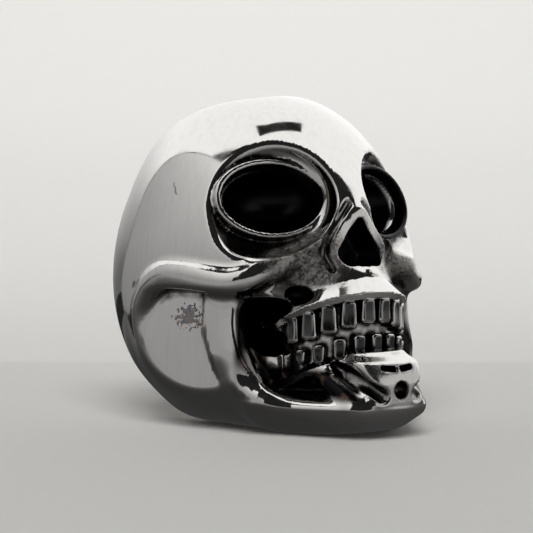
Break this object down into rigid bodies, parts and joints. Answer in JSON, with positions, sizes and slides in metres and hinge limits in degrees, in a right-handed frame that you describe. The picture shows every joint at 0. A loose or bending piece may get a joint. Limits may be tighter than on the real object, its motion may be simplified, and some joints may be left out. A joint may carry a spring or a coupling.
{
  "type": "skull ring",
  "caption": "Heavy polished metal finger ring cast as a full skull with its lower jaw, worn on a finger through the bore that runs from jaw to crown",
  "frame": {"origin": "on the axis of the finger bore, halfway along its wall", "axes": "+Z along the finger bore from the jaw to the crown, the face toward -Y, +X across the face"},
  "size_m": [0.0294, 0.0392, 0.0311],
  "materials": {
    "polished_steel": "mirror-polished cast stainless steel, darkened in the recesses"
  },
  "bodies": {
    "root": {"skull_ring": "polished_steel"}
  },
  "joints": []
}
